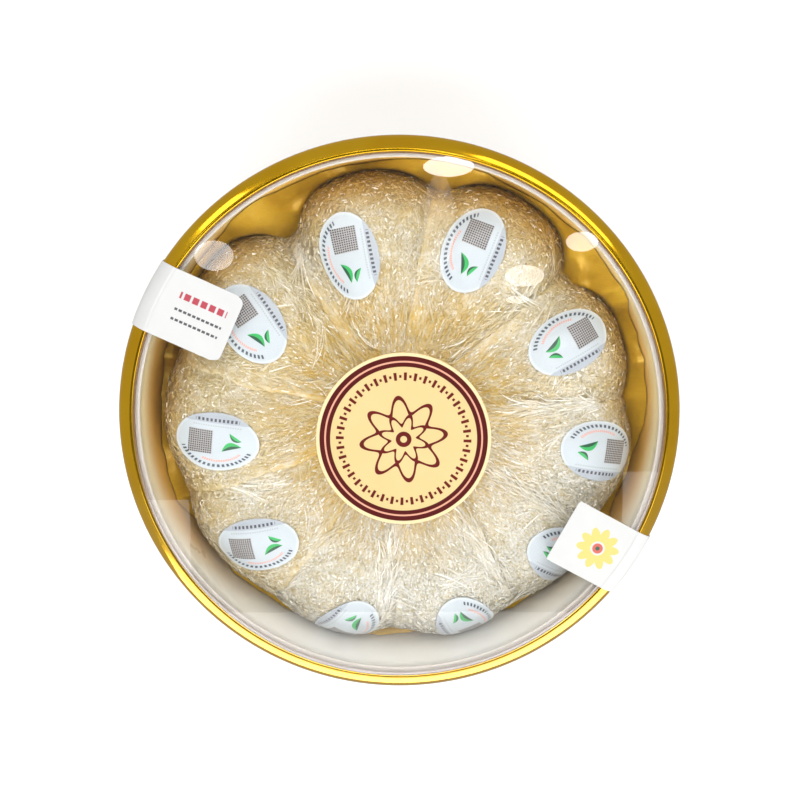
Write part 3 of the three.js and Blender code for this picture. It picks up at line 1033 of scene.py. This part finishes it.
def fringe(nest, side):
    """Pale strands along a seam between two nests: side is 1 to this nest's left, -1 to its right."""
    out = random.uniform(24, nest["reach"] - 14, FRINGE)
    edge = np.stack([out, side * out * 0.32, np.full(FRINGE, nest["height"])], -1)
    edge[:, 1] += random.normal(0, 1.6, FRINGE)
    spots = onto(nest, edge, 5)
    heading = inward(spots, random.normal(0, 0.2, FRINGE))
    wander = random.normal(0, 0.05, FRINGE)
    path, normals = sound_paths(nest, spots, heading, FRINGE_STEPS, wander, 1.5)
    count = len(path)
    height = weave(count, FRINGE_STEPS, 0.62, 0.0)
    roll = random.normal(0, 0.35, count)
    tones = toned(count, 0.78)
    return ribbons(path, normals, random.uniform(0.25, 0.5, count), height, roll, tones)


def nest_strands(nest):
    """All strands of a nest, with a fringe for each neighbour that it lies over."""
    parts = [short_strands(nest), flakes(nest)]
    parts += [bundle(nest) for _ in range(BUNDLES)]
    for side, other in zip((-1, 1), beside(nest)):
        if nest["rank"] > other["rank"]:
            parts.append(fringe(nest, side))
    return parts


def make_nest(index, material):
    """One nest: its matted body and the strands on it, in one mesh."""
    nest = NESTS[index]
    body, faces, tones = closed_shell(index)
    points, tones = [body], [tones]
    total = len(body)
    for spots, quads, tone in nest_strands(nest):
        points.append(spots)
        tones.append(tone)
        faces.extend(map(tuple, (quads + total).tolist()))
        total += len(spots)
    tones = np.concatenate(tones)
    number = f"{index + 1:02d}"
    piece(
        f"matted_nest_{number}", in_box(nest, np.concatenate(points)), faces, material, "nest",
        [f"nest_{number}"], 70, {"tone": tones, "warm": np.full(len(tones), nest["warm"])},
    )


LABEL_ROUNDS = 56
LABEL_RINGS = 10


def label_seat(nest, label):
    """A label's middle on its nest, and the directions of its length and its width there."""
    start = np.array([[label["out"], label["side"], nest["height"] + 2.0]])
    for _ in range(10):
        start[:, 2] -= matted(nest, start)[0]
    normal = gradient(nest, start)[0][0]
    first = np.array([1.0, 0, 0])
    first = first - normal * first.dot(normal)
    first /= np.linalg.norm(first)
    turn = math.radians(label["turn"])
    first = first * math.cos(turn) + np.cross(normal, first) * math.sin(turn)
    return start, first, np.cross(normal, first)


def make_nest_label(index, material):
    """An oval paper label that follows its nest."""
    nest = NESTS[index]
    start, first, second = label_seat(nest, LABELS[index])
    angles = 2 * np.pi * np.arange(LABEL_ROUNDS) / LABEL_ROUNDS
    flat = np.stack([LABEL_LENGTH / 2 * np.cos(angles), LABEL_WIDTH / 2 * np.sin(angles)], -1)
    length = np.linalg.norm(flat, axis=-1, keepdims=True)
    heading = (first * flat[:, :1] + second * flat[:, 1:]) / length
    spokes = walk(
        nest, np.repeat(start, LABEL_ROUNDS, 0), heading, LABEL_RINGS + 1,
        np.zeros(LABEL_ROUNDS), length / LABEL_RINGS,
    )
    spots, normals = (
        np.concatenate([spoke[:1, 0], spoke[:, 1:].swapaxes(0, 1).reshape(-1, 3)])
        for spoke in spokes
    )
    points = [spots + normals * lift for lift in (LABEL_LIFT + PAPER, LABEL_LIFT)]
    marks = [np.zeros((1, 2))] + [flat * ring / LABEL_RINGS for ring in range(1, LABEL_RINGS + 1)]
    half = len(spots)
    edge = half - LABEL_ROUNDS
    faces = []
    for side in (0, half):
        for i in range(LABEL_ROUNDS):
            j = (i + 1) % LABEL_ROUNDS
            faces.append((side, side + 1 + i, side + 1 + j))
            for a in range(side + 1, side + edge, LABEL_ROUNDS):
                b = a + LABEL_ROUNDS
                faces.append((a + i, b + i, b + j, a + j))
    for i in range(LABEL_ROUNDS):
        j = (i + 1) % LABEL_ROUNDS
        faces.append((edge + i, half + edge + i, half + edge + j, edge + j))
    number = f"{index + 1:02d}"
    piece(
        f"oval_label_{number}", in_box(nest, np.concatenate(points)), faces, material,
        "nest_label", [f"nest_label_{number}"], 30, sheet=np.concatenate(marks * 2),
    )


# The box

def make_base(material):
    """The drum: flat foot with a shallow ring under it, a wall that widens upwards, and the neck."""
    shoulder = SKIRT_BOTTOM - 0.3
    inside = NECK_RADIUS - BASE_WALL
    profile = [(0, 0), (60, 0), (60.8, 0.5), (82, 0.5), (83, 0)]
    profile += arc(BASE_FOOT_RADIUS - BASE_CORNER, BASE_CORNER, BASE_CORNER, -90, 0, 14)
    profile += [(BASE_FOOT_RADIUS + 0.9, shoulder - 9), (BASE_RADIUS - 0.1, shoulder - 0.9)]
    profile += arc(BASE_RADIUS - 0.6, shoulder - 0.6, 0.6, 0, 90, 5)
    profile += [(NECK_RADIUS + 0.3, shoulder), (NECK_RADIUS, shoulder + 0.3)]
    profile += arc(NECK_RADIUS - 0.4, BASE_TOP - 0.4, 0.4, 0, 90, 3)
    profile += [(inside, BASE_TOP)]
    profile += arc(inside - BASE_CORNER, BASE_FLOOR + BASE_CORNER, BASE_CORNER, 0, -90, 8)
    profile += [(0, BASE_FLOOR)]
    piece("drum_base", *turned(profile), material, "base", ["base"], 50)


def wall_radius(height):
    """The tray's inner radius at a height: its wall leans out a little more towards the top."""
    share = np.clip((height - WALL_BEND) / (TRAY_TOP - 2 * TRAY_FLANGE - WALL_BEND), 0, 1)
    return TRAY_FOOT_RADIUS + (TRAY_TOP_RADIUS - TRAY_FOOT_RADIUS) * share ** 1.3


def make_tray(material):
    """The thin tray: floor, rounded corner, wall and a rolled flange on the base's neck."""
    flange = TRAY_TOP - TRAY_FLANGE
    outside_foot = TRAY_FOOT_RADIUS + TRAY_WALL + 0.1
    floor = TRAY_BOTTOM + TRAY_WALL
    profile = [(0, TRAY_BOTTOM)]
    profile += arc(outside_foot - TRAY_CORNER, TRAY_BOTTOM + TRAY_CORNER, TRAY_CORNER, -90, 0, 8)
    profile += [(TRAY_TOP_RADIUS + TRAY_WALL, flange), (NECK_RADIUS, flange)]
    profile += [(NECK_RADIUS, TRAY_TOP - 0.2), (NECK_RADIUS - 0.2, TRAY_TOP)]
    profile += arc(TRAY_LIP_RADIUS + 0.7, TRAY_TOP - 0.7, 0.7, 90, 200, 8)
    heights = np.linspace(flange - TRAY_FLANGE, floor + TRAY_CORNER, 9)
    profile += [(wall_radius(height), height) for height in heights[:-1]]
    profile += arc(wall_radius(heights[-1]) - TRAY_CORNER, floor + TRAY_CORNER, TRAY_CORNER, 0, -90, 10)
    profile += [(0, floor)]
    piece("inner_tray", *turned(profile), material, "tray", ["tray"], 50)


def ring_profile():
    """The band's outer line, from its inner edge on the window out and down to the skirt."""
    top = LID_TOP
    line = arc(RING_INNER + 0.45, top - 0.45, 0.45, 180, 90, 4)
    line += [(RING_INNER + 1.1, top - 0.02), (RING_INNER + 1.35, top - 0.22)]
    x, z = line[-1]
    for slope in np.radians(np.linspace(19, 37, 9)):
        x, z = x + 0.36 * math.cos(slope), z - 0.36 * math.sin(slope)
        line.append((x, z))
    edge = math.radians(38)
    radius = (LID_RADIUS - x) / (1 - math.sin(edge))
    return line + arc(LID_RADIUS - radius, z - radius * math.cos(edge), radius, 50, 0, 10)


def make_ring(material):
    """The gold ring: its band, a groove round the skirt, and the ledge that holds the window."""
    inside = LID_RADIUS - RING_WALL
    ledge = RING_INNER - LEDGE
    ledge_top = LID_TOP - PANE_THICKNESS - 0.05
    profile = ring_profile()
    profile += [(LID_RADIUS, SKIRT_BOTTOM + 2.6), (LID_RADIUS - 0.25, SKIRT_BOTTOM + 2.3)]
    profile += [(LID_RADIUS - 0.25, SKIRT_BOTTOM + 1.9), (LID_RADIUS, SKIRT_BOTTOM + 1.6)]
    profile += arc(LID_RADIUS - 0.5, SKIRT_BOTTOM + 0.5, 0.5, 0, -90, 5)
    profile += [(inside, SKIRT_BOTTOM), (inside, ledge_top - 1)]
    profile += [(ledge, ledge_top - 1), (ledge, ledge_top), (RING_INNER, ledge_top)]
    piece("gold_ring", *turned(profile), material, "gold_ring", ["lid_ring"], 35)


def make_pane(material):
    """The window, which lies on the ring's ledge."""
    edge = 0.1
    radius = RING_INNER - 0.05
    top = LID_TOP
    bottom = top - PANE_THICKNESS
    profile = [(0, bottom), (radius - edge, bottom), (radius, bottom + edge)]
    profile += [(radius, top - edge), (radius - edge, top), (0, top)]
    pane = piece("clear_pane", *turned(profile), material, "window", ["lid_window"], 30)
    pane.visible_shadow = False


def make_round_label(material):
    """A round paper label, a hair above the window."""
    radius = ROUND_LABEL_RADIUS
    bottom = corner("round_label", 0).z
    top = bottom + ROUND_LABEL_THICKNESS
    profile = [(0, bottom), (radius - 0.1, bottom), (radius, bottom + 0.06)]
    profile += [(radius, bottom + 0.12), (radius - 0.08, top), (20, top), (8, top), (0, top)]
    points, faces = turned(profile, 180)
    points = np.array(points)
    marks = spun(points, ROUND_LABEL_TURN)[:, :2]
    points[:, :2] += ROUND_LABEL_PLACE
    label = piece(
        "round_paper_label", points, faces, material, "round_label", ["round_label"], 30,
        sheet=marks,
    )
    label.visible_shadow = False


def seal_path(lift):
    """The line that a seal follows past the window: over the ring's band and down the side."""
    band = ring_profile()
    line = []
    for (r0, z0), (r1, z1) in zip(band, band[1:]):
        length = math.hypot(r1 - r0, z1 - z0)
        z = (z0 + z1) / 2 + (r1 - r0) / length * lift
        if z > LID_TOP - 6:
            line.append(((r0 + r1) / 2 + (z0 - z1) / length * lift, min(z, LID_TOP + lift)))
    line += [(LID_RADIUS + lift, SKIRT_BOTTOM + 6), (LID_RADIUS + lift, SKIRT_BOTTOM - 0.4)]
    line += [(BASE_RADIUS + lift + 0.1, SKIRT_BOTTOM - 1.2), (BASE_RADIUS + lift, SEAL_REACH_DOWN)]
    return line


SEAL_COLUMNS = 26
SEAL_FLAT_STEPS = 14


def seal_side(seal, lift):
    """One face of a seal, at a height off what it sticks to: its points, and their places on the
    flat paper."""
    low, high, radius = seal["low"], seal["high"], seal["corner"]
    path = seal_path(lift)
    points = []
    marks = []
    for across in np.linspace(low, high, SEAL_COLUMNS):
        cut = max(0, radius - min(across - low, high - across))
        start = seal["inner"] + radius - math.sqrt(max(0, radius ** 2 - cut ** 2))
        end = math.sqrt(RING_INNER ** 2 - across ** 2)
        line = [(x, LID_TOP + lift) for x in np.linspace(start, end, SEAL_FLAT_STEPS)]
        line += [(math.sqrt(r * r - across * across), z) for r, z in path]
        measured = start
        previous = line[0]
        for x, z in line:
            measured += math.hypot(x - previous[0], z - previous[1])
            previous = (x, z)
            points.append((x, across, z))
            marks.append((measured, across))
    return np.array(points), np.array(marks)


def make_seal(seal, material):
    """A paper seal from the window over the ring and down the side of lid and base."""
    sides = [seal_side(seal, lift) for lift in (SEAL_LIFT + PAPER, SEAL_LIFT)]
    points, marks = (np.concatenate(both) for both in zip(*sides))
    half = len(points) // 2
    length = half // SEAL_COLUMNS
    faces = grid_faces(SEAL_COLUMNS, length)
    faces += [tuple(half + k for k in face) for face in faces]
    grid = np.arange(half).reshape(SEAL_COLUMNS, length)
    rim = [*grid[:, 0], *grid[-1, 1:], *grid[-2::-1, -1], *grid[0, -2:0:-1]]
    faces += [(a, b, half + b, half + a) for a, b in zip(rim, rim[1:] + rim[:1])]
    piece(
        seal["name"].replace("seal", "paper_seal"), spun(points, seal["angle"]), faces, material,
        "seal", [seal["name"]], 50, sheet=marks,
    )


CLOTH_SPARE = 1.17          # the cloth is this much wider than it lies
LINING_EDGE = 91            # the cloth's radius as it lies, against the tray's wall
LINING_ROUNDS = 420
LINING_RINGS = 90

# Where the cloth stands up against the wall: middle and spread in degrees, and height
LINING_RISE = [
    (123, 36, 27),
    (80, 30, 24),
    (38, 34, 26),
    (8, 24, 20),
    (-33, 12, 12),
    (-161, 15, 17),
    (-120, 60, 10),
    (-60, 60, 9),
]


def make_lining(material):
    """The satin: a round cloth laid in the tray, creased, and pushed up the wall between nests."""
    radii = LINING_EDGE * np.linspace(0.02, 1, LINING_RINGS) ** 0.6
    angles = 2 * np.pi * np.arange(LINING_ROUNDS) / LINING_ROUNDS
    radius, angle = np.meshgrid(radii, angles, indexing="ij")
    flat = np.stack([radius * np.cos(angle), radius * np.sin(angle), np.zeros_like(radius)], -1)

    # 1 where the cloth is free of the nests, and 0 under them
    free = np.full(radius.shape, 9.0)
    for nest in NESTS:
        free = np.minimum(free, depth(nest, spun(flat + np.array([0, 0, 9.0]), -nest["angle"])))
    free = eased(np.clip((free + 0.9) / 1.3, 0, 1))

    rise = np.zeros_like(radius)
    for middle, spread, height in LINING_RISE:
        off = (np.degrees(angle) - middle + 180) % 360 - 180
        rise = np.maximum(rise, height * np.exp(-(off / spread) ** 2))
    near = np.clip((radius / LINING_EDGE - 0.72) / 0.28, 0, 1)
    around = np.stack([np.cos(angle) * 34, np.sin(angle) * 34, radius * 0.16], -1)
    fold = 1 - 2 * np.abs(ripple(around, 4.6, 9))
    crease = (1 - 2 * np.abs(ripple(flat, 10, 5))) + 0.5 * ripple(flat, 5, 6)
    lying = LINING_BOTTOM + 2.2 + 0.9 * crease + 1.2 * fold * near
    upright = rise * near ** 1.2 + (5 * fold + 2.6 * crease) * near * (0.2 + rise / 30)
    z = np.maximum(lying, LINING_BOTTOM + 0.2) + upright * free
    wider = 1 + (wall_radius(z) - 0.3 - LINING_EDGE) / LINING_EDGE * near ** 3

    points = np.stack([flat[..., 0] * wider, flat[..., 1] * wider, z], -1).reshape(-1, 3)
    marks = (flat[..., :2] * CLOTH_SPARE).reshape(-1, 2)
    faces = grid_faces(LINING_RINGS, LINING_ROUNDS, wrap=True)
    faces += [(len(points), i, (i + 1) % LINING_ROUNDS) for i in range(LINING_ROUNDS)]
    points = np.concatenate([points, [[0, 0, LINING_BOTTOM + 2.2]]])
    marks = np.concatenate([marks, [[0, 0]]])
    cloth = piece(
        "satin_cloth", points, faces, material, "satin", ["satin_lining"], 80, sheet=marks,
    )


# Stage: floor, lights and the sky, in metres

FLOOR_REACH = 4
SKY_STRENGTH = 0.47
LAMP_DISTANCE = 1.6

# Panels that face the lid: azimuth and elevation in degrees, the two sizes and the radiance
FACING_PANELS = [
    ("front", -90, 52, (3.0, 0.92), 1.35),
    ("front_low", -90, 19, (3.4, 0.9), 3.2),
    ("top_left", 138, 43, (0.3, 0.8), 3.0),
    ("top_right", 50, 40, (0.9, 0.35), 2.6),
]

# Lamps that hang level above the box: the middle, the two sizes and the radiance
HANGING_PANELS = [
    ("overhead", (0, 0.68, 1.65), (1.8, 1.0), 3.3),
    ("side_left", (-0.96, -1.07, 1.73), (1.2, 1.2), 1.5),
    ("side_right", (0.98, -1.02, 1.73), (1.2, 1.2), 1.5),
]
HANGING_BULBS = [
    ("bulb_top", (0.054, 0.091, 1.05), (0.056, 0.022), 9),
    ("bulb_top_tail", (0.044, 0.03, 1.05), (0.034, 0.11), 1.0),
    ("bulb_middle", (0.141, -0.031, 1.05), (0.044, 0.024), 5),
    ("bulb_small", (0.133, -0.058, 1.05), (0.026, 0.009), 4),
    ("bulb_right", (0.205, 0.008, 1.05), (0.036, 0.022), 7),
    ("bulb_left", (-0.209, -0.008, 1.05), (0.044, 0.034), 5),
]


def make_floor(material):
    """A level floor, which isn't seen in glossy reflections."""
    signs = [(-1, -1), (1, -1), (1, 1), (-1, 1)]
    mesh = bpy.data.meshes.new("floor")
    mesh.from_pydata([(x * FLOOR_REACH, y * FLOOR_REACH, 0) for x, y in signs], [], [(0, 1, 2, 3)])
    mesh.materials.append(material)
    floor = add("floor", mesh)
    floor.visible_glossy = False


def lamp(name, place, aim, size, radiance, shape="RECTANGLE"):
    """A soft lamp of the given radiance that faces a point. Its first size runs level."""
    way = (Vector(place) - Vector(aim)).normalized()
    side = Vector((-way.y, way.x, 0)).normalized() if abs(way.z) < 0.999 else Vector((1, 0, 0))
    data = bpy.data.lights.new(name, "AREA")
    data.shape = shape
    data.size, data.size_y = size
    area = size[0] * size[1] * (math.pi / 4 if shape == "ELLIPSE" else 1)
    data.energy = radiance * math.pi * area
    add(name, data).matrix_world = standing(place, side, way.cross(side), way)


def make_sky():
    """A sky for the ring to reflect: white low down and grey overhead."""
    world = bpy.data.worlds.new("sky")
    bpy.context.scene.world = world
    world.use_nodes = True
    tree = world.node_tree
    sky = tree.nodes["Background"]
    sky.inputs["Strength"].default_value = SKY_STRENGTH
    split = tree.nodes.new("ShaderNodeSeparateXYZ")
    tree.links.new(tree.nodes.new("ShaderNodeTexCoord").outputs["Generated"], split.inputs[0])
    ramp = tree.nodes.new("ShaderNodeValToRGB")
    tree.links.new(split.outputs["Z"], ramp.inputs[0])
    tree.links.new(ramp.outputs["Color"], sky.inputs["Color"])
    low, high = ramp.color_ramp.elements
    low.position, low.color = 0.8, (1, 0.99, 0.97, 1)
    high.position, high.color = 0.93, (0.3, 0.3, 0.3, 1)


def make_lights():
    middle = Vector((0, 0, LID_TOP * MM))
    for name, azimuth, elevation, size, radiance in FACING_PANELS:
        azimuth, elevation = math.radians(azimuth), math.radians(elevation)
        level = math.cos(elevation)
        way = Vector((math.cos(azimuth) * level, math.sin(azimuth) * level, math.sin(elevation)))
        lamp(name, middle + way * LAMP_DISTANCE, middle, size, radiance)
    for shape, panels in (("RECTANGLE", HANGING_PANELS), ("ELLIPSE", HANGING_BULBS)):
        for name, place, size, radiance in panels:
            lamp(name, place, (place[0], place[1], 0), size, radiance, shape)


bpy.context.scene.view_settings.view_transform = "Standard"
make_camera()
make_floor(floor_material())
make_sky()
make_lights()

make_base(ivory_material())
make_tray(tray_material())
make_lining(satin_material())
make_ring(gold_material())
make_pane(pane_material())
make_round_label(round_label_material())
make_seal(SEALS[0], seal_material("seal_rules", ruled))
make_seal(SEALS[1], seal_material("seal_rosette", flowered))
strand_look = strand_material()
label_look = nest_label_material()
for index in range(len(NESTS)):
    make_nest(index, strand_look)
    make_nest_label(index, label_look)
